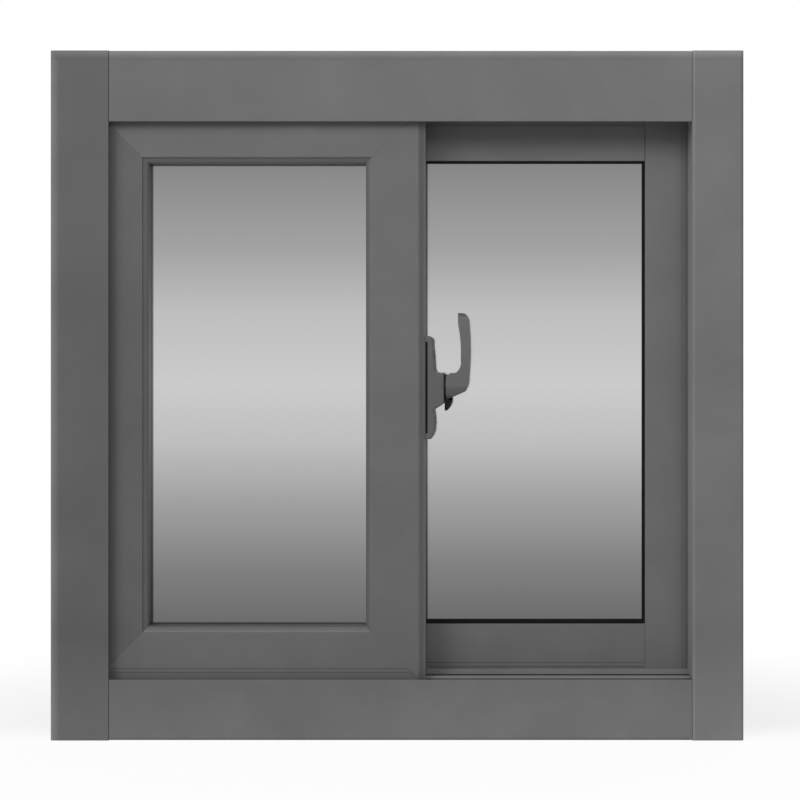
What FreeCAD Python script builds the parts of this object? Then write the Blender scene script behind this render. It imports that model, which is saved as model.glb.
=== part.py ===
import FreeCAD, Part
import math
import os

from FreeCAD import Placement, Rotation, Vector

# Horizontal sliding window: two glazed sashes on two tracks in one aluminium frame.
# X runs along the tracks, Y from the room to the outside, Z up, all in millimetres.
# The origin is under the middle of the frame, at the height of its underside.

# Frame: overall size, and the face that each side shows to the room.
frame_width = 600.0
frame_height = 597.0
left_face = 50.5
right_face = 44.5
head_face = 61.5
sill_face = 52.5
frame_wall = 1.8
jamb_box = 25.0
sill_box = 38.0
head_box = 39.0
edge_round = 3.0
lip_round = 0.7
seam = 0.3
cover_wall = 1.5
cover_gap = 5.0

# Depth, from the room side backwards.
sash_setback = 11.0
sash_depth = 28.0
track_gap = 12.0

# Tracks: bead-topped rails with a weir between them in the sill, and guide fins in the
# head and jambs.
rail_height = 14.8
rail_bead = 1.7
weir_height = 18.5
weir_head_height = 4.5
weir_head_overhang = 2.0
fin_wall = 2.0
head_fin = 17.0
jamb_fin = 12.0

# Running clearances of the sashes.
side_clearance = 6.1
latch_clearance = 8.7
floor_clearance = 7.5
head_clearance = 5.5
sash_overlap = 51.6

# Sash bars. The face of a rear bar includes its glazing leg. A running bar steps back
# twice towards its channel, and the front meeting stile is sloped off beside its edge.
sash_wall = 1.6
channel_depth = 20.1
channel_lip_width = 12.2
channel_lip_depth = 1.2
face_step_width = 15.5
face_step_depth = 0.5
glazing_leg = 6.3
front_bar = 47.2
rear_stile_bar = 48.3
rear_meeting_bar = 47.0
rear_top_bar = 47.0
rear_bottom_bar = 50.0
meeting_slope_width = 6.5
meeting_slope_flat = 0.8
meeting_slope_depth = 2.0
tight_seam = 0.1

# Glazing: one pane, its wrap-round gasket, and the beads that clip it in.
glass_thickness = 6.0
glass_edge_cover = 1.5
gasket_lip = 1.5
rear_gasket_side = 2.7
rear_gasket_bottom = 3.9
rear_gasket_top = 2.2
bead_setback = 1.5
bead_inset = 1.4
bead_slope = 1.4
bead_wall = 1.2
bead_chamfer = 1.0

# Rollers under each sash.
roller_groove_radius = 4.0
roller_flange_radius = 5.8
roller_width = 8.0
roller_axle_radius = 2.0
roller_running_gap = 0.3
roller_inset = 62.0
carrier_length = 36.0
carrier_wall = 1.6
carrier_gap = 0.5
carrier_lift = 1.5
axle_fit = 0.05

# Interlock strips on the meeting stiles.
interlock_width = 12.0
interlock_thickness = 2.0
interlock_end = 18.0
interlock_inset = 1.0

# Crescent lock on the side of the front meeting stile. Its heights are from the pin.
lock_height = 305.5
lock_setback = 11.0
base_width = 22.0
base_above = 44.6
base_below = 45.2
base_thickness = 7.0
base_foot = 4.3
base_crown = 3.2
base_swell = 0.7
base_shoulder = 5.8
base_round = 1.6
boss_reach = 16.1
boss_above = 12.35
boss_below = 14.1
boss_fillet = 4.0
boss_flare = 5.9
boss_root = 8.1
pad_thickness = 1.8
pad_end = 5.0
pad_inset = 0.6
hub_radius = 11.2
hub_thickness = 8.0
hub_notch_width = 3.7
hub_notch_height = 2.7
cam_radius = 16.35
cam_drop = 4.35
cam_back = 3.0
cam_front = 2.0
cam_thickness = 6.9
cam_web = 1.2
cam_bow = 1.7
cam_gap = 0.3
lever_length = 64.9
lever_reach = 39.2
lever_thickness = 8.7
lever_tip_radius = 5.5
lever_hook = 2.3
lever_bow = 1.2
lever_crook = 1.9
lever_neck_rise = 1.0
lever_heel = 11.8
lever_knuckle = 8.0
lever_heel_step = 3.6
lever_tip = 8.0
lever_tip_bow = 3.2
pin_radius = 3.0
pin_gap = 0.08

# Keeper plate on the rear meeting stile.
keeper_length = 21.0
keeper_thickness = 2.0
keeper_slot = 9.0
keeper_rim = 4.0

# Fixing holes through the jambs, in one line up the middle of their depth.
fixing_hole_radius = 3.2
fixing_spacing = 400.0

# Worked out from the sizes above.
frame_depth = 2 * sash_setback + 2 * sash_depth + track_gap
front_track = sash_setback + sash_depth / 2
rear_track = frame_depth - sash_setback - sash_depth / 2
rear_setback = sash_setback + sash_depth + track_gap
half_width = frame_width / 2
rail_top = sill_box + rail_height
weir_top = sill_box + weir_height
sash_bottom = sill_box + floor_clearance
head_web = frame_height - head_box
sash_top = head_web - head_clearance
head_fin_end = head_web - head_fin
front_left = -half_width + jamb_box + side_clearance
rear_right = half_width - jamb_box - latch_clearance
meeting_middle = (front_left + rear_right) / 2
front_right = meeting_middle + sash_overlap / 2
rear_left = meeting_middle - sash_overlap / 2
over = 1.0
same = 0.01


def rectangle(u0, v0, u1, v1):
    """A flat face between two corners of the section plane."""
    return outline([(u0, v0), (u1, v0), (u1, v1), (u0, v1)])


def outline(points):
    """A flat face in the section plane, from its corners in order."""
    corners = [Vector(u, v, 0) for u, v in points]
    return Part.Face(Part.makePolygon(corners + corners[:1]))


def block(x0, y0, z0, x1, y1, z1):
    """A box between two opposite corners."""
    return Part.makeBox(x1 - x0, y1 - y0, z1 - z0, Vector(x0, y0, z0))


def drawn(curves, along):
    """A solid from a closed run of curves, pushed along a vector."""
    wire = Part.Wire([curve.toShape() for curve in curves])
    return Part.Face(wire).extrude(along)


def round_long_edges(solid, corners, radius):
    """Round the edges of an extrusion that run over the given corners of its section."""
    chosen = []
    for edge in solid.Edges:
        ends = [v.Point for v in edge.Vertexes]
        if len(ends) != 2 or abs(ends[0].z - ends[1].z) < 1:
            continue
        for u, v in corners:
            if all(abs(p.x - u) < same and abs(p.y - v) < same for p in ends):
                chosen.append(edge)
    return solid.makeFillet(radius, chosen)


def side_of(name, box, setback, turned):
    """Turn a bar from its own section frame to one side of a rectangle.

    The bar lies with u from its outer edge inwards, v from the room side, and its
    length from zero. The rectangle is left, right, bottom, top.
    """
    left, right, bottom, top = box
    room = -frame_depth / 2 + setback
    seats = {
        "left": (Vector(left, room, bottom), 0),
        "right": (Vector(right, room, top), 180),
        "bottom": (Vector(right, room, bottom), -90),
        "top": (Vector(left, room, top), 90),
    }
    base, angle = seats[name]
    placed = turned.copy()
    placed.Placement = Placement(base, Rotation(Vector(0, 1, 0), angle)).multiply(placed.Placement)
    return placed


def side_length(name, box):
    """Length of one side of a rectangle given as left, right, bottom, top."""
    left, right, bottom, top = box
    return top - bottom if name in ("left", "right") else right - left


def mitred(bar, reach, length):
    """Cut both ends of a bar at 45 degrees, from its outer edge in to the given reach."""
    cut = tight_seam / 2
    low = cut - over
    high = length + over - cut
    tip = reach + over
    corners = [(-over, low), (-over, high), (reach, high - tip), (reach, low + tip)]
    points = [Vector(u, -over, w) for u, w in corners]
    keep = Part.Face(Part.makePolygon(points + points[:1]))
    return bar.common(keep.extrude(Vector(0, frame_depth + 2 * over, 0)))


# Outer frame. Each side is a hollow extrusion with a lip to the room and one to the
# outside. Guide fins or track rails stand between the lips, over ribs in the hollow.
frame_rect = (-half_width, half_width, 0.0, frame_height)


def frame_section(face, box, fin_length, weir):
    """Section of one side of the frame as an outer outline, with its hollows cut out."""
    fins = [(front_track, fin_length, 0), (rear_track, fin_length, 0)]
    if weir:
        fins.insert(1, (frame_depth / 2, weir, weir_head_overhang))
    walls = [(0, 0), (face, 0), (face, frame_wall), (box, frame_wall)]
    for middle, reach, overhang in fins:
        near = middle - fin_wall / 2
        far = middle + fin_wall / 2
        neck = box + reach - weir_head_height
        top = box + reach
        walls += [(box, near)]
        if overhang:
            walls += [(neck, near), (neck, near - overhang), (top, near - overhang)]
            walls += [(top, far + overhang), (neck, far + overhang), (neck, far)]
        else:
            walls += [(top, near), (top, far)]
        walls += [(box, far)]
    outside = frame_depth - frame_wall
    walls += [(box, outside), (face, outside), (face, frame_depth), (0, frame_depth)]
    section = outline(walls)
    ribs = [0, front_track, rear_track, frame_depth]
    for near, far in zip(ribs, ribs[1:]):
        start = near + (frame_wall if near == 0 else frame_wall / 2)
        end = far - (frame_wall if far == frame_depth else frame_wall / 2)
        section = section.cut(rectangle(frame_wall, start, box - frame_wall, end))
    return section


def frame_bar(face, box, fin_length, length, weir=0.0):
    """One side of the frame as a plain length of its profile, with its edges eased."""
    section = frame_section(face, box, fin_length, weir)
    bar = section.extrude(Vector(0, 0, length)).Solids[0]
    bar = round_long_edges(bar, [(0, 0)], edge_round)
    return round_long_edges(bar, [(face, 0), (face, frame_depth), (0, frame_depth)], lip_round)


def jamb(side):
    """Full-height side of the frame, drilled for its fixings."""
    face = left_face if side == "left" else right_face
    bar = side_of(side, frame_rect, 0, frame_bar(face, jamb_box, jamb_fin, frame_height))
    inner = -half_width + jamb_box if side == "left" else half_width - jamb_box - jamb_fin
    room = -frame_depth / 2 + frame_wall
    for z0, z1 in ((0, rail_top + seam), (head_fin_end - seam, frame_height)):
        bar = bar.cut(block(inner, room, z0, inner + jamb_fin, -room, z1))
    start = -half_width if side == "left" else half_width - jamb_box
    for z in fixing_heights():
        seat = Vector(start - over, 0, z)
        bar = bar.cut(Part.makeCylinder(fixing_hole_radius, jamb_box + 2 * over, seat, Vector(1, 0, 0)))
    return bar


def fixing_heights():
    """Heights of the fixing holes, even about the middle of the frame."""
    return [frame_height / 2 + side * fixing_spacing / 2 for side in (-1, 1)]


def cross_member(side, bar):
    """Head or sill: it runs between the jambs, with its lips cut back to theirs."""
    bar = side_of(side, cross_rect, 0, bar)
    deep = frame_depth / 2
    for x0, x1 in (
        (-half_width, -half_width + left_face + seam),
        (half_width - right_face - seam, half_width),
    ):
        bar = bar.cut(block(x0, -deep - over, -over, x1, -deep + frame_wall, frame_height + over))
        bar = bar.cut(block(x0, deep - frame_wall, -over, x1, deep + over, frame_height + over))
    return bar


cross_rect = (-half_width + jamb_box, half_width - jamb_box, 0.0, frame_height)
cross_length = side_length("top", cross_rect)


def head():
    """Top of the frame, with long fins that guide both sashes."""
    return cross_member("top", frame_bar(head_face, head_box, head_fin, cross_length))


def sill():
    """Bottom of the frame, with a bead along the top of each rail and a weir between."""
    bar = frame_bar(sill_face, sill_box, rail_height, cross_length, weir_height)
    for track in (front_track, rear_track):
        middle = Vector(rail_top - rail_bead, track, 0)
        bar = bar.fuse(Part.makeCylinder(rail_bead, cross_length, middle))
    return cross_member("bottom", bar.removeSplitter())


def track_cover():
    """Snap-in cover that closes the unused front track on the right jamb."""
    inner = half_width - right_face
    room = -frame_depth / 2 + frame_wall
    back = -frame_depth / 2 + rear_setback - cover_gap
    low = max(rail_top, sill_face) + seam
    high = head_fin_end - seam
    skin = block(inner, room, low, inner + cover_wall, back, high)
    leg = block(inner, back - cover_wall, low, half_width - jamb_box, back, high)
    weir_room = -(fin_wall / 2 + weir_head_overhang + seam)
    notch = block(inner - over, weir_room, low - over, half_width, back + over, weir_top + seam)
    return skin.fuse(leg).removeSplitter().cut(notch)


# Sashes. A bar has an open channel along its outer edge for fins, rails and rollers,
# or is closed there on a meeting stile. A leg beyond its inner edge holds the glass.
front_rect = (front_left, front_right, sash_bottom, sash_top)
rear_rect = (rear_left, rear_right, sash_bottom, sash_top)
channel_near = channel_lip_depth + sash_wall


def sash_section(bar_face, closed, leg_at_room, slope):
    """Section of one sash bar, hollow, u from its outer edge and v from its room side."""
    deep = sash_depth
    wall = sash_wall
    tip = bar_face + glazing_leg
    if closed:
        points = [(0, 0)]
        if slope:
            points = [(0, slope), (meeting_slope_flat, slope), (meeting_slope_width, 0)]
        hollow = rectangle(wall, wall + slope, bar_face - wall, deep - wall)
    else:
        points = [(0, channel_lip_depth), (channel_lip_width, channel_lip_depth)]
        points += [(channel_lip_width, face_step_depth), (face_step_width, face_step_depth)]
        points += [(face_step_width, 0)]
        hollow = rectangle(channel_depth + wall, wall, bar_face - wall, deep - wall)
    if leg_at_room:
        points += [(tip, 0), (tip, wall), (bar_face, wall), (bar_face, deep), (0, deep)]
    else:
        points += [(bar_face, 0), (bar_face, deep - wall), (tip, deep - wall), (tip, deep), (0, deep)]
    if not closed:
        step = face_step_depth + wall
        points += [(0, deep - wall), (channel_depth, deep - wall), (channel_depth, step)]
        points += [(channel_lip_width + wall, step), (channel_lip_width + wall, channel_near)]
        points += [(0, channel_near)]
    return outline(points).cut(hollow)


def sash_bar(bar_face, length, closed=False, leg_at_room=False, slope=0.0):
    """A plain length of sash bar with its room edges eased."""
    section = sash_section(bar_face, closed, leg_at_room, slope)
    bar = section.extrude(Vector(0, 0, length)).Solids[0]
    inner = bar_face + glazing_leg if leg_at_room else bar_face
    bar = round_long_edges(bar, [(inner, 0)], lip_round)
    if closed:
        return round_long_edges(bar, [(0, slope)], lip_round)
    return round_long_edges(bar, [(face_step_width, 0)], face_step_depth / 2)


def passage(bar, bar_face, length):
    """Clear both ends of a stile for the guide fins and the rails."""
    for low, high in ((-over, channel_depth), (length - channel_depth, length + over)):
        bar = bar.cut(block(-over, channel_near, low, bar_face + over, sash_depth - sash_wall, high))
    return bar


def front_bar_at(side):
    """One mitred bar of the front sash."""
    length = side_length(side, front_rect)
    closed = side == "right"
    bar = sash_bar(front_bar, length, closed, False, meeting_slope_depth if closed else 0.0)
    if closed:
        bar = passage(bar, front_bar, length)
    bar = mitred(bar, front_bar + glazing_leg, length)
    return side_of(side, front_rect, sash_setback, bar)


def rear_bar_face(side):
    """Face width of each rear bar without its glazing leg."""
    full = {
        "left": rear_meeting_bar,
        "right": rear_stile_bar,
        "top": rear_top_bar,
        "bottom": rear_bottom_bar,
    }
    return full[side] - glazing_leg


def rear_stile(side):
    """Full-height stile of the rear sash."""
    length = side_length(side, rear_rect)
    face = rear_bar_face(side)
    bar = passage(sash_bar(face, length, side == "left", True), face, length)
    return side_of(side, rear_rect, rear_setback, bar)


def rear_rail(side):
    """Rail of the rear sash, butted between the stiles with its glazing leg cut back."""
    left = rear_left + rear_bar_face("left")
    right = rear_right - rear_bar_face("right")
    rect = (left, right, sash_bottom, sash_top)
    bar = sash_bar(rear_bar_face(side), side_length(side, rect), False, True)
    bar = side_of(side, rect, rear_setback, bar)
    room = -frame_depth / 2 + rear_setback
    joint = glazing_leg + (seam if side == "top" else tight_seam)
    for x0, x1 in ((left - over, left + joint), (right - joint, right + over)):
        bar = bar.cut(block(x0, room - over, 0, x1, room + sash_wall, frame_height))
    return bar


def drawn_in(rect, reaches):
    """A rectangle drawn in on its left, right, bottom and top by four reaches."""
    left, right, bottom, top = rect
    return (left + reaches[0], right - reaches[1], bottom + reaches[2], top - reaches[3])


front_light = drawn_in(front_rect, [front_bar] * 4)
rear_light = drawn_in(rear_rect, [rear_bar_face(s) for s in ("left", "right", "bottom", "top")])
front_glass_front = sash_setback + sash_depth - sash_wall - gasket_lip - glass_thickness
rear_glass_front = rear_setback + sash_wall + gasket_lip


def slab(rect, near, far):
    """A rectangle between two depths from the room face, as a solid."""
    left, right, bottom, top = rect
    room = -frame_depth / 2
    return block(left, room + near, bottom, right, room + far, top)


def pane(rect, near):
    """Sheet of glass, a little smaller than the opening between its bars."""
    return slab(drawn_in(rect, [glass_edge_cover] * 4), near, near + glass_thickness)


def gasket(rect, near, glass, prouds):
    """One-piece channel gasket round a pane, proud of each glazing leg by its own amount."""
    inner = drawn_in(rect, [glazing_leg + proud for proud in prouds])
    front = near - gasket_lip
    back = near + glass_thickness + gasket_lip
    ring = slab(rect, front, back).cut(slab(inner, front - over, back + over))
    return ring.cut(glass)


def bead_bar(side, rect, mirrored):
    """Mitred glazing bead, hollow, with its face sloped down to the glass."""
    deep = sash_depth - sash_wall - 2 * gasket_lip - glass_thickness
    tip = glazing_leg - bead_setback
    foot = bead_inset + bead_slope
    points = [(0, bead_inset), (tip - bead_chamfer, foot), (tip, foot + bead_chamfer), (tip, deep), (0, deep)]
    section = outline(points)
    hollow = rectangle(bead_wall, foot + bead_chamfer + bead_wall, tip - bead_wall, deep - bead_wall)
    section = section.cut(hollow)
    setback = sash_setback
    if mirrored:
        section = section.mirror(Vector(0, sash_depth / 2, 0), Vector(0, 1, 0))
        setback = rear_setback
    length = side_length(side, rect)
    bar = section.extrude(Vector(0, 0, length)).Solids[0]
    return side_of(side, rect, setback, mitred(bar, glazing_leg, length))


# Rollers. Each sash rides on two grooved wheels in U-shaped carriers under its bottom rail.
roller_height = rail_top + roller_running_gap + roller_groove_radius


def roller(x, track):
    """Grooved wheel and its axle, one turned piece."""
    half = roller_width / 2
    axle = half + carrier_gap + carrier_wall
    middle = Vector(x, track - frame_depth / 2, roller_height)
    points = [
        (0, -axle),
        (roller_axle_radius, -axle),
        (roller_axle_radius, -half),
        (roller_flange_radius, -half),
        (roller_groove_radius, -rail_bead / 2),
        (roller_groove_radius, rail_bead / 2),
        (roller_flange_radius, half),
        (roller_axle_radius, half),
        (roller_axle_radius, axle),
        (0, axle),
    ]
    corners = [middle + Vector(r, s, 0) for r, s in points]
    face = Part.Face(Part.makePolygon(corners + corners[:1]))
    return face.revolve(middle, Vector(0, 1, 0), 360)


def roller_carrier(x, track):
    """Folded carrier that holds one wheel by its axle."""
    half = roller_width / 2 + carrier_gap
    outer = half + carrier_wall
    y = track - frame_depth / 2
    top = sash_bottom + channel_depth
    low = sash_bottom + carrier_lift
    long = carrier_length / 2
    body = block(x - long, y - outer, low, x + long, y + outer, top)
    inside = block(x - long - over, y - half, low - over, x + long + over, y + half, top - carrier_wall)
    start = Vector(x, y - outer - over, roller_height)
    bore = Part.makeCylinder(roller_axle_radius + axle_fit, 2 * outer + 2 * over, start, Vector(0, 1, 0))
    return body.cut(inside).cut(bore)


def both_ends(make, rect, track):
    """The same piece near both ends of a sash."""
    left, right = rect[0], rect[1]
    return Part.makeCompound([make(left + roller_inset, track), make(right - roller_inset, track)])


def interlock(side):
    """Thin interlock strip between the sashes, on the outside or room face of a meeting stile."""
    low = sash_bottom + interlock_end
    high = sash_top - interlock_end
    if side == "front":
        near = sash_setback + sash_depth - frame_depth / 2
        edge = front_right - interlock_inset
        return block(edge - interlock_width, near, low, edge, near + interlock_thickness, high)
    far = rear_setback - frame_depth / 2
    edge = rear_left + interlock_inset
    return block(edge, far - interlock_thickness, low, edge + interlock_width, far, high)


# Crescent lock. Its base is screwed to the side of the front meeting stile over a thin
# pad. The lever and the crescent cam behind it turn together on a pin along X.
lock_y = -frame_depth / 2 + sash_setback + lock_setback
boss_face = front_right + boss_reach
cam_start = boss_face + cam_gap
hub_face = cam_start + cam_web
across = Vector(1, 0, 0)


def lock_profile(width, rows):
    """A lock piece of even width from its side view, gone round clockwise.

    Each row is a distance from the stile, a height from the pin, and how far the side that
    follows bows outwards.
    """
    points = [Vector(front_right + x, lock_y - width / 2, lock_height + z) for x, z, bow in rows]
    curves = []
    for start, end, row in zip(points, points[1:] + points[:1], rows):
        way = end - start
        if row[2]:
            outwards = Vector(-way.z, 0, way.x) * (row[2] / way.Length)
            curves.append(Part.Arc(start, start + way / 2 + outwards, end))
        else:
            curves.append(Part.LineSegment(start, end))
    return drawn(curves, Vector(0, width, 0))


def bored(solid, radius):
    """Drill a solid along the pin, from behind the boss to inside the hub."""
    start = front_right + pad_thickness + frame_wall
    length = hub_face + hub_thickness - start
    return solid.cut(Part.makeCylinder(radius, length, Vector(start, lock_y, lock_height), across))


def lock_base():
    """Cast base plate, thickening to the boss that carries the pin, hollow over its pad."""
    tip = base_thickness - base_swell
    body = lock_profile(base_width, [
        (0, -base_below, 0),
        (0, base_above, 0),
        (base_crown, base_above, 2 * base_swell),
        (tip, base_above - base_shoulder, 0),
        (boss_root, boss_above + boss_fillet, -boss_fillet * (1 - math.sqrt(0.5))),
        (boss_root + boss_fillet, boss_above, 0),
        (boss_reach, boss_above, 0),
        (boss_reach, -boss_below, 0),
        (base_thickness, -boss_below - boss_flare, base_swell),
        (base_thickness + base_swell, base_shoulder - base_below, base_swell),
        (base_foot, -base_below, 0),
    ])
    room = lock_y - base_width / 2
    rim = []
    for edge in body.Edges:
        at_room = all(abs(v.Point.y - room) < same for v in edge.Vertexes)
        if at_room and edge.CenterOfMass.x > front_right + same:
            rim.append(edge)
    return bored(body.makeFillet(base_round, rim).cut(pad_space(0)), pin_radius + pin_gap)


def pad_space(inset):
    """Room for the pad under the base, or the pad itself drawn in from the base's sides."""
    half = base_width / 2 + (over if not inset else -inset)
    low = lock_height - base_below + pad_end
    high = lock_height + base_above - pad_end
    return block(front_right, lock_y - half, low, front_right + pad_thickness, lock_y + half, high)


def lock_cam():
    """Crescent round the back of the lever's hub, and the thin web that joins it to the pin."""
    start = cam_start - front_right
    end = start + cam_thickness
    low = -cam_drop - cam_radius - over
    side = lock_profile(4 * cam_radius, [
        (start, low, 0),
        (start, cam_radius, 0),
        (end - cam_front, cam_radius, 0),
        (end, -hub_radius, cam_bow),
    ])
    disc = Part.makeCylinder(
        cam_radius, cam_thickness, Vector(cam_start, lock_y + cam_back, lock_height - cam_drop), across
    )
    room = block(
        cam_start - over, lock_y - 2 * cam_radius, lock_height - 2 * cam_radius,
        cam_start + cam_thickness + over, lock_y - cam_front, lock_height + 2 * cam_radius
    )
    middle = Vector(cam_start, lock_y, lock_height)
    web = Part.makeCylinder(hub_radius - cam_web / 2, cam_web, middle, across)
    crescent = disc.common(side).cut(room).cut(tapered_arm(hub_face, axle_fit))
    return bored(crescent.fuse(web).removeSplitter(), pin_radius + axle_fit)


def tapered_arm(start, grown):
    """View of the lever along the pin, round at the hub and at the tip, grown all round."""
    reach = lever_length - lever_tip_radius
    big = hub_radius + grown
    small = lever_tip_radius + grown
    lean = math.asin((big - small) / reach)
    right, left, down, up = lean, math.pi - lean, -math.pi / 2, math.pi / 2

    def rim(radius, height, angle):
        y = lock_y + radius * math.cos(angle)
        return Vector(start, y, lock_height + height + radius * math.sin(angle))

    curves = [
        Part.Arc(rim(big, 0, right), rim(big, 0, down), rim(big, 0, left)),
        Part.LineSegment(rim(big, 0, left), rim(small, reach, left)),
        Part.Arc(rim(small, reach, left), rim(small, reach, up), rim(small, reach, right)),
        Part.LineSegment(rim(small, reach, right), rim(big, 0, right)),
    ]
    return drawn(curves, Vector(2 * lever_reach, 0, 0))


def lock_lever():
    """Hub and bowed finger lever, drawn in side view and cut to its tapered width."""
    hub = hub_face - front_right
    inner = lever_reach - lever_thickness
    outer = lever_reach - lever_bow
    shoulder = hub_radius + lever_neck_rise
    arm = lock_profile(2 * hub_radius, [
        (hub, -hub_radius, 0),
        (hub, shoulder - hub_notch_height, 0),
        (hub + hub_notch_width, shoulder, 0),
        (inner - 2 * lever_hook, shoulder, -lever_crook),
        (inner, shoulder + lever_heel, -lever_bow / 2),
        (inner - lever_bow, lever_length - 2 * lever_tip, lever_bow / 2),
        (inner - lever_hook, lever_length, lever_tip_bow),
        (outer, lever_length - lever_tip, lever_bow),
        (outer, lever_knuckle, lever_bow),
        (outer - lever_heel_step, lever_knuckle - lever_heel, 0),
    ]).common(tapered_arm(front_right, 0.0))
    return bored(arm, pin_radius)


def lock_pin():
    """Pin through the boss, fast in the hub."""
    start = front_right + pad_thickness + frame_wall
    length = hub_face + hub_thickness - start
    return Part.makeCylinder(pin_radius, length, Vector(start, lock_y, lock_height), across)


def keeper():
    """Slotted strike plate on the rear meeting stile, reaching behind the cam."""
    room = -frame_depth / 2 + rear_setback
    left = rear_left + interlock_inset + interlock_width + keeper_thickness
    right = cam_start + cam_thickness / 2
    low = lock_height - keeper_length / 2
    plate = block(left, room - keeper_thickness, low, right, room, low + keeper_length)
    slot = block(
        right - keeper_slot, room - keeper_thickness - over, low + keeper_rim,
        right - keeper_rim, room + over, low + keeper_length - keeper_rim
    )
    return plate.cut(slot)


def build():
    """Every piece of the window by the name of its node."""
    front_glass = pane(front_light, front_glass_front)
    rear_glass = pane(rear_light, rear_glass_front)
    rear_prouds = [rear_gasket_side, rear_gasket_side, rear_gasket_bottom, rear_gasket_top]
    pieces = {
        "left_jamb": jamb("left"),
        "right_jamb": jamb("right"),
        "head": head(),
        "sill": sill(),
        "right_jamb_cover": track_cover(),
        "front_left_stile": front_bar_at("left"),
        "front_meeting_stile": front_bar_at("right"),
        "front_top_rail": front_bar_at("top"),
        "front_bottom_rail": front_bar_at("bottom"),
        "rear_meeting_stile": rear_stile("left"),
        "rear_right_stile": rear_stile("right"),
        "rear_top_rail": rear_rail("top"),
        "rear_bottom_rail": rear_rail("bottom"),
        "front_glass": front_glass,
        "rear_glass": rear_glass,
        "front_gasket": gasket(front_light, front_glass_front, front_glass, [-bead_setback] * 4),
        "rear_gasket": gasket(rear_light, rear_glass_front, rear_glass, rear_prouds),
        "front_rollers": both_ends(roller, front_rect, front_track),
        "rear_rollers": both_ends(roller, rear_rect, rear_track),
        "front_roller_carriers": both_ends(roller_carrier, front_rect, front_track),
        "rear_roller_carriers": both_ends(roller_carrier, rear_rect, rear_track),
        "front_interlock": interlock("front"),
        "rear_interlock": interlock("rear"),
        "keeper": keeper(),
        "lock_base": lock_base(),
        "lock_pad": pad_space(pad_inset),
        "lock_cam": lock_cam(),
        "lock_lever": lock_lever(),
        "lock_pin": lock_pin(),
    }
    for side in ("left", "right", "top", "bottom"):
        pieces["front_bead_" + side] = bead_bar(side, front_light, False)
        pieces["rear_bead_" + side] = bead_bar(side, rear_light, True)
    return pieces


def main():
    os.makedirs("parts", exist_ok=True)
    for name, shape in build().items():
        shape.exportStep("parts/" + name + ".step")
        solids = [round(s.Volume / 1000, 2) for s in shape.Solids]
        print(name, "solids", len(solids), "cm3", solids, "valid", shape.isValid())


main()
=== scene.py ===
import math

import bmesh
import bpy
from mathutils import Matrix, Vector
from mathutils.bvhtree import BVHTree


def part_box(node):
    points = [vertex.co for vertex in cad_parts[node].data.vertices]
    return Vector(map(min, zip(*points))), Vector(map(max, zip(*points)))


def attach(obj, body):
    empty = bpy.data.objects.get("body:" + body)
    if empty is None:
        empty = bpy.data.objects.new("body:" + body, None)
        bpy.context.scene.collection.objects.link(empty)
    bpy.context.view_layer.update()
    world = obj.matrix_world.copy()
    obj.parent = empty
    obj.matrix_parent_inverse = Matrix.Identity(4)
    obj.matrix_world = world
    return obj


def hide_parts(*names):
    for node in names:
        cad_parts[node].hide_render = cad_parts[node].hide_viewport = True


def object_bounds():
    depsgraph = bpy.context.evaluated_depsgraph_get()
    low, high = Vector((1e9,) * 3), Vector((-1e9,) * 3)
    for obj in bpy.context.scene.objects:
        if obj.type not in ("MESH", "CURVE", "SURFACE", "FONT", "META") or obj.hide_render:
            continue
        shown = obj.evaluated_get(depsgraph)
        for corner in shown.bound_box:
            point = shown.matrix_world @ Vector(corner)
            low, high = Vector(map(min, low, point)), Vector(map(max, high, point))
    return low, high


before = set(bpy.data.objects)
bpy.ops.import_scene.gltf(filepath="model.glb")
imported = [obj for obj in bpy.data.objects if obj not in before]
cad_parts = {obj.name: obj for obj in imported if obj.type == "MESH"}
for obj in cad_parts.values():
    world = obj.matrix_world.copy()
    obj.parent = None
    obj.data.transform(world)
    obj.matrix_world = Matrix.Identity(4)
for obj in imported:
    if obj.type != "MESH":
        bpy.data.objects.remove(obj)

cad_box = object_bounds()

# Outer frame: extruded aluminium bars, cut square and screwed together at the corners.
# They are powder coated in satin with a fine orange peel. A painted highlight pales the coat along the
# outer left and top arrises, painted light pales it towards the right and near the foot, and painted light
# pales the sill's tracks.
MM = 0.001
BLOTCH_SIZE = 70 * MM
GRAIN_SIZE = 0.45 * MM
PEEL_SIZE = 1.4 * MM
PEEL_HEIGHT = 0.3 * MM
GLOSS_SPREAD = 0.05


def linear(hex_colour):
    """An sRGB hex colour as a linear RGBA tuple."""
    parts = [int(hex_colour[i:i + 2], 16) / 255 for i in (1, 3, 5)]
    return tuple(c / 12.92 if c <= 0.04045 else ((c + 0.055) / 1.055) ** 2.4 for c in parts) + (1.0,)


def add(tree, kind, links=None, stops=(), **settings):
    """A node with its settings and ramp stops. An input takes a value, a socket or a node."""
    node = tree.nodes.new(kind)
    for name, value in settings.items():
        setattr(node, name, value)
    for _ in stops[2:]:
        node.color_ramp.elements.new(0.5)
    for number, (position, colour) in enumerate(stops):
        node.color_ramp.elements[number].position = position
        node.color_ramp.elements[number].color = linear(colour)
    for name, value in (links or {}).items():
        if isinstance(value, bpy.types.Node):
            value = next(socket for socket in value.outputs if socket.enabled)
        if isinstance(value, bpy.types.NodeSocket):
            tree.links.new(value, node.inputs[name])
        else:
            node.inputs[name].default_value = value
    return node


def new_material(name):
    """An empty node material and the Object coordinates in its tree."""
    material = bpy.data.materials.new(name)
    material.use_nodes = True
    tree = material.node_tree
    tree.nodes.clear()
    return material, tree, add(tree, "ShaderNodeTexCoord").outputs["Object"]


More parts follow.
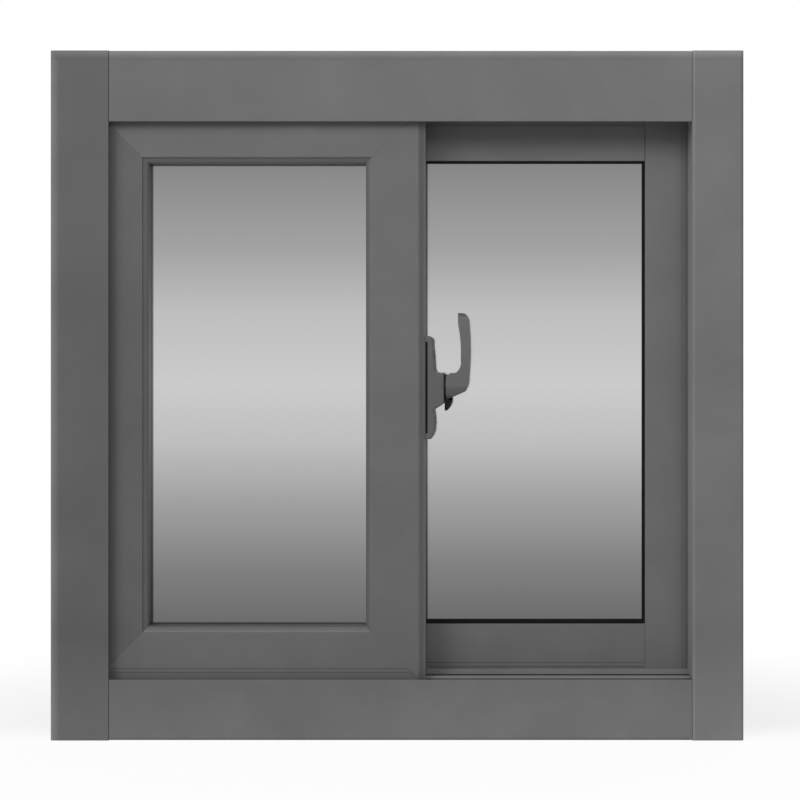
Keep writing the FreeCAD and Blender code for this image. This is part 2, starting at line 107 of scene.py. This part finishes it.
def powder_coat(name, dark, light, roughness, painted_light_and_shade=None):
    """Satin powder coat on aluminium: nearly even colour, fine orange peel, soft gloss.

    The colour drifts between dark and light in broad blotches, and painted light and shade change it
    further.
    """
    material, tree, place = new_material(name)
    blotches = add(tree, "ShaderNodeTexNoise", {
        "Vector": place, "Scale": 1 / BLOTCH_SIZE, "Detail": 3.0, "Roughness": 0.55,
    })
    colour = add(tree, "ShaderNodeValToRGB", {"Fac": blotches}, stops=[(0.32, dark), (0.68, light)])
    if painted_light_and_shade:
        colour = painted_light_and_shade(tree, place, colour)
    grain = add(tree, "ShaderNodeTexNoise", {"Vector": place, "Scale": 1 / GRAIN_SIZE, "Detail": 1.0})
    rough = add(tree, "ShaderNodeMapRange", {
        "Value": grain, "From Min": 0.3, "From Max": 0.7,
        "To Min": roughness - GLOSS_SPREAD, "To Max": roughness + GLOSS_SPREAD,
    })
    peel = add(tree, "ShaderNodeTexNoise", {"Vector": place, "Scale": 1 / PEEL_SIZE, "Detail": 2.0})
    bump = add(tree, "ShaderNodeBump", {"Height": peel, "Strength": 0.05, "Distance": PEEL_HEIGHT})
    skin = add(tree, "ShaderNodeBsdfPrincipled", {
        "Base Color": colour, "Roughness": rough, "Normal": bump, "IOR": 1.5, "Specular IOR Level": 0.3,
    })
    add(tree, "ShaderNodeOutputMaterial", {"Surface": skin})
    return material


def finish_with(material, *nodes):
    """Makes a material the only one on the named CAD nodes."""
    for name in nodes:
        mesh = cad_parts[name].data
        mesh.materials.clear()
        mesh.materials.append(material)


# Each gain is the share by which painted light makes the coat paler, and each loss the share by which
# painted shade makes it darker.
HIGHLIGHT_BAND_WIDTH = 8 * MM
HIGHLIGHT_BAND_GAIN = 1.0
BAND_SHADE_LINE_LOSS = 0.2
FOOT_LIGHT_HEIGHT = 90 * MM
FOOT_LIGHT_GAIN = 0.4
RIGHTWARD_LIGHT_GAIN = 0.16
ARRIS_HIGHLIGHT_START = 0.1 * MM
ARRIS_HIGHLIGHT_WIDTH = 1.6 * MM
ARRIS_HIGHLIGHT_GAIN = 0.25


def painted_frame_light(tree, place, colour):
    """Painted highlight: a pale band along the outer left and top arrises, whose top run is painted darker
    at its inner edge as a shade line.

    Painted light also makes the coat paler to the right and near the foot, and lays a painted highlight on
    the right jamb's inner arris and inner face.
    """
    low, high = cad_box
    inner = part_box("right_jamb")[0][0]
    axes = add(tree, "ShaderNodeSeparateXYZ", {"Vector": place})
    across, up = axes.outputs["X"], axes.outputs["Z"]
    left = add(tree, "ShaderNodeMapRange", {
        "Value": across, "From Min": low[0] + HIGHLIGHT_BAND_WIDTH, "From Max": low[0],
    })
    top = add(tree, "ShaderNodeMapRange", {
        "Value": up, "From Min": high[2] - HIGHLIGHT_BAND_WIDTH, "From Max": high[2],
    })
    highlight_band = add(tree, "ShaderNodeMath", {0: left, 1: top}, operation="MAXIMUM")
    line = add(tree, "ShaderNodeMath", {0: top, 1: 0.0}, operation="GREATER_THAN")
    foot = add(tree, "ShaderNodeMapRange", {
        "Value": up, "From Min": low[2] + FOOT_LIGHT_HEIGHT, "From Max": low[2],
    })
    inward = add(tree, "ShaderNodeMapRange", {
        "Value": across, "From Min": inner - ARRIS_HIGHLIGHT_START, "From Max": inner,
    })
    outward = add(tree, "ShaderNodeMapRange", {
        "Value": across, "From Min": inner + ARRIS_HIGHLIGHT_WIDTH, "From Max": inner + 2 * ARRIS_HIGHLIGHT_WIDTH,
    })
    arris = add(tree, "ShaderNodeMath", {0: inward, 1: outward}, operation="SUBTRACT")
    gain = add(tree, "ShaderNodeMapRange", {
        "Value": across, "From Min": low[0], "From Max": high[0], "To Min": 1.0, "To Max": 1.0 + RIGHTWARD_LIGHT_GAIN,
    })
    marks = ((highlight_band, HIGHLIGHT_BAND_GAIN), (line, -BAND_SHADE_LINE_LOSS), (foot, FOOT_LIGHT_GAIN), (arris, ARRIS_HIGHLIGHT_GAIN))
    for share, strength in marks:
        gain = add(tree, "ShaderNodeMath", {0: share, 1: strength, 2: gain}, operation="MULTIPLY_ADD")
    return add(tree, "ShaderNodeVectorMath", {0: colour, "Scale": gain}, operation="SCALE")


# Painted light that pales the sill's tracks between its room and outside faces, where shade gathers.
TRACK_LIGHT_START = 1 * MM
TRACK_LIGHT_GAIN = 0.4


def painted_track_light(tree, place, colour):
    """The sill's coat with the frame's painted light, and painted light that pales its tracks between the
    two faces.
    """
    low, high = cad_box
    axes = add(tree, "ShaderNodeSeparateXYZ", {"Vector": place})
    room = add(tree, "ShaderNodeMapRange", {
        "Value": axes.outputs["Y"], "From Min": low[1] + TRACK_LIGHT_START, "From Max": low[1] + 2 * TRACK_LIGHT_START,
    })
    outside = add(tree, "ShaderNodeMapRange", {
        "Value": axes.outputs["Y"], "From Min": high[1] - 2 * TRACK_LIGHT_START, "From Max": high[1] - TRACK_LIGHT_START,
    })
    between = add(tree, "ShaderNodeMath", {0: room, 1: outside}, operation="SUBTRACT")
    gain = add(tree, "ShaderNodeMath", {0: between, 1: TRACK_LIGHT_GAIN, 2: 1.0}, operation="MULTIPLY_ADD")
    coat = painted_frame_light(tree, place, colour)
    return add(tree, "ShaderNodeVectorMath", {0: coat, "Scale": gain}, operation="SCALE")


# The bars' coats are set a shade apart as painted light and shade: the left jamb darkest, and the snap-in
# cover much paler, which lightens its shaded reveal.
finish_with(powder_coat("powder_coat_left_jamb", "#505050", "#575757", 0.45, painted_frame_light), "left_jamb")
finish_with(powder_coat("powder_coat_head", "#5b5b5b", "#626262", 0.45, painted_frame_light), "head")
finish_with(powder_coat("powder_coat_right_jamb", "#5c5c5c", "#636363", 0.45, painted_frame_light), "right_jamb")
finish_with(powder_coat("powder_coat_sill", "#565656", "#5d5d5d", 0.45, painted_track_light), "sill")
finish_with(powder_coat("powder_coat_cover", "#8b8b8b", "#929292", 0.4), "right_jamb_cover")

# Sashes: lighter bars of the same alloy and coat, mitred and screwed on the front sash and butted on the
# rear one. A soft line of painted shade darkens the sloped edge of the front meeting stile.
SHADE_LINE_INSET = 3.6 * MM
SHADE_LINE_HALF_WIDTH = 3.2 * MM
SHADE_LINE_LOSS = 0.35


def painted_edge_shade(tree, place, colour):
    """The coat with a soft line of painted shade along the meeting stile's sloped edge."""
    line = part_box("front_meeting_stile")[1][0] - SHADE_LINE_INSET
    axes = add(tree, "ShaderNodeSeparateXYZ", {"Vector": place})
    offset = add(tree, "ShaderNodeMath", {0: axes.outputs["X"], 1: line}, operation="SUBTRACT")
    away = add(tree, "ShaderNodeMath", {0: offset}, operation="ABSOLUTE")
    gain = add(tree, "ShaderNodeMapRange", {
        "Value": away, "From Max": SHADE_LINE_HALF_WIDTH, "To Min": 1.0 - SHADE_LINE_LOSS, "To Max": 1.0,
    })
    return add(tree, "ShaderNodeVectorMath", {0: colour, "Scale": gain}, operation="SCALE")


finish_with(powder_coat("powder_coat_meeting_stile", "#5b5b5b", "#626262", 0.42, painted_edge_shade),
            "front_meeting_stile")
# The front left stile's darker coat is painted shade, and the rear right stile's slightly paler coat is
# painted light.
finish_with(powder_coat("powder_coat_left_stile", "#525252", "#585858", 0.42), "front_left_stile")
finish_with(powder_coat("powder_coat_front_rails", "#5b5b5b", "#626262", 0.42),
            "front_top_rail", "front_bottom_rail")
finish_with(powder_coat("powder_coat_rear_bars", "#5f5f5f", "#666666", 0.42),
            "rear_top_rail", "rear_meeting_stile", "rear_bottom_rail")
finish_with(powder_coat("powder_coat_rear_stile", "#606060", "#676767", 0.42), "rear_right_stile")

# Glazing beads: thin extrusions that clip round each pane, mitred at the corners. The front beads' darker
# coat is painted shade on their sloped faces, and a painted highlight pales their outer arrises, right and
# bottom.
BEAD_HIGHLIGHT_WIDTH = 1.7 * MM
BEAD_HIGHLIGHT_GAIN = 0.9


def painted_bead_highlight(tree, place, colour):
    """The coat with a painted highlight on the outer arrises of the right and bottom beads."""
    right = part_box("front_bead_right")[1][0]
    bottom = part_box("front_bead_bottom")[0][2]
    axes = add(tree, "ShaderNodeSeparateXYZ", {"Vector": place})
    upright = add(tree, "ShaderNodeMapRange", {
        "Value": axes.outputs["X"], "From Min": right - BEAD_HIGHLIGHT_WIDTH, "From Max": right,
    })
    level = add(tree, "ShaderNodeMapRange", {
        "Value": axes.outputs["Z"], "From Min": bottom + BEAD_HIGHLIGHT_WIDTH, "From Max": bottom,
    })
    arris = add(tree, "ShaderNodeMath", {0: upright, 1: level}, operation="MAXIMUM")
    gain = add(tree, "ShaderNodeMath", {0: arris, 1: BEAD_HIGHLIGHT_GAIN, 2: 1.0}, operation="MULTIPLY_ADD")
    return add(tree, "ShaderNodeVectorMath", {0: colour, "Scale": gain}, operation="SCALE")


finish_with(powder_coat("powder_coat_front_beads", "#505050", "#565656", 0.42, painted_bead_highlight),
            "front_bead_left", "front_bead_right", "front_bead_top", "front_bead_bottom")
finish_with(powder_coat("powder_coat_rear_beads", "#525252", "#585858", 0.42),
            "rear_bead_left", "rear_bead_right", "rear_bead_top", "rear_bead_bottom")


# Panes: float glass with a thin metal coat that mirrors the surroundings, flat and highly polished. Its
# colour carries a painted reflection: a soft band of sky, paler across the middle and darker above and
# below.
def coated_glass():
    """Metal-coated float glass: a clean mirror whose colour, set by height, is a painted reflection of a
    sky band.
    """
    material, tree, place = new_material("coated_float_glass")
    axes = add(tree, "ShaderNodeSeparateXYZ", {"Vector": place})
    low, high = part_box("front_glass")
    height = add(tree, "ShaderNodeMapRange", {
        "Value": axes.outputs["Z"], "From Min": low[2], "From Max": high[2],
    })
    painted_sky_band = add(tree, "ShaderNodeValToRGB", {"Fac": height}, stops=[
        (0.0, "#6a6a6a"), (0.13, "#818181"), (0.27, "#a1a1a1"), (0.40, "#bfbfbf"),
        (0.52, "#cbcbcb"), (0.68, "#bebebe"), (0.81, "#a3a3a3"), (1.0, "#868686"),
    ])
    skin = add(tree, "ShaderNodeBsdfPrincipled", {"Base Color": painted_sky_band, "Metallic": 1.0, "Roughness": 0.08})
    add(tree, "ShaderNodeOutputMaterial", {"Surface": skin})
    return material


finish_with(coated_glass(), "front_glass", "rear_glass")

# Gaskets and the lock's pad: extruded black rubber, pressed round the edge of each pane
# and laid behind the lock.
DUST_PATCH = 11 * MM


def black_rubber():
    """Extruded EPDM rubber: near black and matt, with a little grey dust in its pores."""
    material, tree, place = new_material("extruded_black_rubber")
    dust = add(tree, "ShaderNodeTexNoise", {"Vector": place, "Scale": 1 / DUST_PATCH, "Detail": 4.0})
    colour = add(tree, "ShaderNodeValToRGB", {"Fac": dust}, stops=[(0.35, "#060606"), (0.75, "#101010")])
    skin = add(tree, "ShaderNodeBsdfPrincipled", {
        "Base Color": colour, "Roughness": 0.7, "Specular IOR Level": 0.12,
    })
    add(tree, "ShaderNodeOutputMaterial", {"Surface": skin})
    return material


finish_with(black_rubber(), "front_gasket", "rear_gasket", "lock_pad")

# Running gear: nylon wheels in folded zinc-plated carriers under the bottom rails, and
# grey plastic interlocks on the meeting stiles.
FLOW_MARK = 8 * MM
SPANGLE_SIZE = 2.5 * MM


def moulded_nylon(name, dark, light):
    """Injection-moulded nylon: smooth and waxy, with a faint haze of flow marks."""
    material, tree, place = new_material(name)
    haze = add(tree, "ShaderNodeTexNoise", {"Vector": place, "Scale": 1 / FLOW_MARK, "Detail": 3.0})
    colour = add(tree, "ShaderNodeValToRGB", {"Fac": haze}, stops=[(0.3, dark), (0.7, light)])
    skin = add(tree, "ShaderNodeBsdfPrincipled", {"Base Color": colour, "Roughness": 0.4, "IOR": 1.53})
    add(tree, "ShaderNodeOutputMaterial", {"Surface": skin})
    return material


def plated_steel(name, dark, light, roughness):
    """Electroplated steel: a dull metal sheen, broken by a faint spangle."""
    material, tree, place = new_material(name)
    spangle = add(tree, "ShaderNodeTexVoronoi", {"Vector": place, "Scale": 1 / SPANGLE_SIZE})
    colour = add(tree, "ShaderNodeValToRGB", {"Fac": spangle}, stops=[(0.1, dark), (0.8, light)])
    skin = add(tree, "ShaderNodeBsdfPrincipled", {
        "Base Color": colour, "Metallic": 1.0, "Roughness": roughness,
    })
    add(tree, "ShaderNodeOutputMaterial", {"Surface": skin})
    return material


finish_with(moulded_nylon("moulded_nylon", "#d2cfc2", "#dedbd0"), "front_rollers", "rear_rollers")
finish_with(plated_steel("zinc_plated_steel", "#a2a3a2", "#b9bab8", 0.35),
            "front_roller_carriers", "rear_roller_carriers")
finish_with(moulded_nylon("grey_interlock_plastic", "#333333", "#3c3c3c"),
            "front_interlock", "rear_interlock")

# Crescent lock: zinc die castings under a smooth satin paint, with a dark plated cam,
# pin and keeper. The castings leave their die with soft edges, and the paint rounds them more.
SHARP = math.radians(35)
FLAT = math.radians(1)
MERGE_DISTANCE = 0.002 * MM
BASE_SOFTNESS = 0.8 * MM
LEVER_SOFTNESS = 1.2 * MM
lock_coat = powder_coat("satin_paint_on_zinc", "#505050", "#575757", 0.36)
finish_with(plated_steel("black_plated_steel", "#161616", "#242424", 0.4), "lock_cam", "lock_pin", "keeper")


def lock_piece(form, name, body, material):
    """A piece of the lock from its bmesh, smooth but for its sharp edges."""
    mesh = bpy.data.meshes.new(name)
    form.to_mesh(mesh)
    form.free()
    mesh.materials.clear()
    mesh.materials.append(material)
    mesh.polygons.foreach_set("use_smooth", [True] * len(mesh.polygons))
    mesh.polygons.foreach_set("material_index", [0] * len(mesh.polygons))
    mesh.set_sharp_from_angle(angle=SHARP)
    piece = bpy.data.objects.new(name, mesh)
    bpy.context.scene.collection.objects.link(piece)
    level = piece.modifiers.new("flat_faces", "WEIGHTED_NORMAL")
    level.keep_sharp = True
    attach(piece, body)
    return piece


def soft_casting(node, body, softness):
    """A copy of a CAD casting with its sharp edges rounded, shown in the node's place."""
    form = bmesh.new()
    form.from_mesh(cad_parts[node].data)
    bmesh.ops.remove_doubles(form, verts=form.verts, dist=MERGE_DISTANCE)
    bmesh.ops.dissolve_limit(form, angle_limit=FLAT, verts=form.verts, edges=form.edges)
    sharp = [e for e in form.edges if e.is_manifold and e.calc_face_angle() > SHARP]
    bmesh.ops.bevel(
        form, geom=sharp, affect="EDGES", offset=softness, offset_type="OFFSET", segments=3,
        profile=0.5, material=-1, clamp_overlap=True,
    )
    casting = lock_piece(form, node + "_casting", body, lock_coat)
    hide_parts(node)


soft_casting("lock_base", "window", BASE_SOFTNESS)
soft_casting("lock_lever", "lock_handle", LEVER_SOFTNESS)

# Lock screws: two M4 countersunk screws of plated steel with a cross recess. They sit
# almost flush in the tongues above and below the boss and hold the lock to the stile.
HEAD_RADIUS = 3.6 * MM
HEAD_DEPTH = 1.2 * MM
HEAD_PROUD = 0.25 * MM
RECESS_REACH = 1.9 * MM
RECESS_HALF_WIDTH = 0.45 * MM
RECESS_DEPTH = 0.7 * HEAD_DEPTH
TONGUE_MIDDLES = {"lower": 0.165, "upper": 0.83}    # shares of the base's height
screw_steel = plated_steel("plated_screw_steel", "#5c5c5c", "#6c6c6c", 0.35)


def crossed(form):
    """Cuts a cross recess in the head's top, which faces +Z."""
    for across in (Vector((1, 0, 0)), Vector((0, 1, 0))):
        for offset in (-RECESS_REACH, -RECESS_HALF_WIDTH, RECESS_HALF_WIDTH, RECESS_REACH):
            everything = form.verts[:] + form.edges[:] + form.faces[:]
            bmesh.ops.bisect_plane(form, geom=everything, plane_co=across * offset, plane_no=across)
    cross = []
    for face in form.faces:
        middle = face.calc_center_median()
        reach, width = max(abs(middle.x), abs(middle.y)), min(abs(middle.x), abs(middle.y))
        if face.normal.z > 0.9 and reach < RECESS_REACH and width < RECESS_HALF_WIDTH:
            cross.append(face)
    pushed = bmesh.ops.extrude_face_region(form, geom=cross)["geom"]
    recess_floor = [v for v in pushed if isinstance(v, bmesh.types.BMVert)]
    bmesh.ops.translate(form, verts=recess_floor, vec=(0, 0, -RECESS_DEPTH))


def lock_screw(end, share):
    """A screw in one tongue of the base, square to the face that a ray along -X meets."""
    low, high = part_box("lock_base")
    base = bmesh.new()
    base.from_mesh(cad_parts["lock_base"].data)
    middle_y = (low[1] + high[1]) / 2
    height = low[2] + share * (high[2] - low[2])
    outside = Vector((high[0] + HEAD_RADIUS, middle_y, height))
    seat, normal, _, _ = BVHTree.FromBMesh(base).ray_cast(outside, Vector((-1, 0, 0)))
    base.free()
    form = bmesh.new()
    bmesh.ops.create_cone(
        form, cap_ends=True, segments=32, depth=HEAD_DEPTH,
        radius1=HEAD_RADIUS, radius2=HEAD_RADIUS - HEAD_PROUD,
    )
    form.normal_update()
    crossed(form)
    turn = normal.to_track_quat("Z", "Y").to_matrix().to_4x4()
    middle = seat + normal * (HEAD_PROUD - HEAD_DEPTH / 2)
    bmesh.ops.transform(form, matrix=Matrix.Translation(middle) @ turn, verts=form.verts)
    bmesh.ops.recalc_face_normals(form, faces=form.faces)
    lock_piece(form, "lock_screw_" + end, "window", screw_steel)


for end, share in TONGUE_MIDDLES.items():
    lock_screw(end, share)

# Studio: a pale floor that keeps the shadow behind the window and fades to white before
# and around it, a white surround for camera and reflections, and broad soft lamps.
FLOOR_HALF_WIDTH = 12.0
FADE_START = 0.25
FADE_END = 0.75
WHITE_SHARE_BEHIND = 0.72
WHITE_SHARE_BEFORE = 0.95
LAMP_AIM = Vector((0.0, 0.0, 0.3))
SOFT_LIGHT = 0.42


def seen_directly(tree):
    """One where a camera, mirror or glass ray meets the surface, and zero for soft light."""
    path = add(tree, "ShaderNodeLightPath")
    direct = path.outputs["Is Camera Ray"]
    for ray in ("Is Glossy Ray", "Is Transmission Ray"):
        direct = add(tree, "ShaderNodeMath", {0: direct, 1: path.outputs[ray]}, operation="MAXIMUM")
    return direct


def pale_floor():
    """Matt painted board, white where the camera or a mirror sees it away from the window."""
    material, tree, place = new_material("pale_studio_floor")
    away = add(tree, "ShaderNodeVectorMath", {0: place}, operation="LENGTH").outputs["Value"]
    axes = add(tree, "ShaderNodeSeparateXYZ", {"Vector": place})
    least = add(tree, "ShaderNodeMapRange", {
        "Value": axes.outputs["Y"], "From Min": cad_box[1][1], "From Max": cad_box[0][1],
        "To Min": WHITE_SHARE_BEHIND, "To Max": WHITE_SHARE_BEFORE,
    })
    fade = add(tree, "ShaderNodeMapRange", {
        "Value": away, "From Min": FADE_START, "From Max": FADE_END, "To Min": least, "To Max": 1.0,
    }, interpolation_type="SMOOTHSTEP")
    share = add(tree, "ShaderNodeMath", {0: fade, 1: seen_directly(tree)}, operation="MULTIPLY")
    matt = add(tree, "ShaderNodeBsdfDiffuse", {"Color": linear("#e9e9e9")})
    white = add(tree, "ShaderNodeEmission", {"Color": linear("#ffffff"), "Strength": 1.0})
    mix = add(tree, "ShaderNodeMixShader", {0: share, 1: matt, 2: white})
    add(tree, "ShaderNodeOutputMaterial", {"Surface": mix})
    return material


def floor_piece():
    """The studio's flat floor, level with the sill's underside."""
    mesh = bpy.data.meshes.new("studio_floor")
    form = bmesh.new()
    bmesh.ops.create_grid(form, x_segments=1, y_segments=1, size=FLOOR_HALF_WIDTH)
    form.to_mesh(mesh)
    form.free()
    mesh.materials.append(pale_floor())
    floor = bpy.data.objects.new("studio_floor", mesh)
    bpy.context.scene.collection.objects.link(floor)
    return floor


def soft_lamp(name, place, size, power):
    """A round area lamp that faces the window's middle."""
    data = bpy.data.lights.new(name, "AREA")
    data.shape = "DISK"
    data.size = size
    data.energy = power
    lamp = bpy.data.objects.new(name, data)
    lamp.location = place
    lamp.rotation_euler = (LAMP_AIM - Vector(place)).to_track_quat("-Z", "Y").to_euler()
    bpy.context.scene.collection.objects.link(lamp)


floor_piece()
soft_lamp("key_lamp", (-2.4, -3.5, 2.6), size=2.6, power=92.0)
soft_lamp("fill_lamp", (0.4, -2.8, 1.6), size=1.2, power=22.0)
soft_lamp("back_lamp", (0.6, 1.9, 1.6), size=1.6, power=16.0)

world = bpy.data.worlds.new("studio_world")
world.use_nodes = True
bpy.context.scene.world = world
sky = world.node_tree
sky.nodes.clear()
soft = add(sky, "ShaderNodeBackground", {"Color": linear("#f2f2f2"), "Strength": SOFT_LIGHT})
white = add(sky, "ShaderNodeBackground", {"Color": linear("#ffffff"), "Strength": 1.0})
surround = add(sky, "ShaderNodeMixShader", {0: seen_directly(sky), 1: soft, 2: white})
add(sky, "ShaderNodeOutputWorld", {"Surface": surround})

# Camera: square on to the frame, a little right of the middle and above it, as the reveals
# in the photo show. The photo's width and middle are real places on the room face, and the
# shift sets the frame where the photo has it.
PHOTO_WIDTH = 692.0 * MM
PHOTO_MIDDLE_X = 2.6 * MM
PHOTO_MIDDLE_Z = 294.6 * MM
CAMERA_DISTANCE = 2.06
CAMERA_X = 71.8 * MM
CAMERA_Z = 329.2 * MM
lens = bpy.data.cameras.new("camera")
lens.sensor_width = 36.0
lens.lens = lens.sensor_width * CAMERA_DISTANCE / PHOTO_WIDTH
lens.shift_x = (PHOTO_MIDDLE_X - CAMERA_X) / PHOTO_WIDTH
lens.shift_y = (PHOTO_MIDDLE_Z - CAMERA_Z) / PHOTO_WIDTH
camera = bpy.data.objects.new("camera", lens)
camera.location = (CAMERA_X, cad_box[0][1] - CAMERA_DISTANCE, CAMERA_Z)
camera.rotation_euler = (math.pi / 2, 0.0, 0.0)
bpy.context.scene.collection.objects.link(camera)
bpy.context.scene.camera = camera

bpy.context.scene.view_settings.view_transform = "Standard"
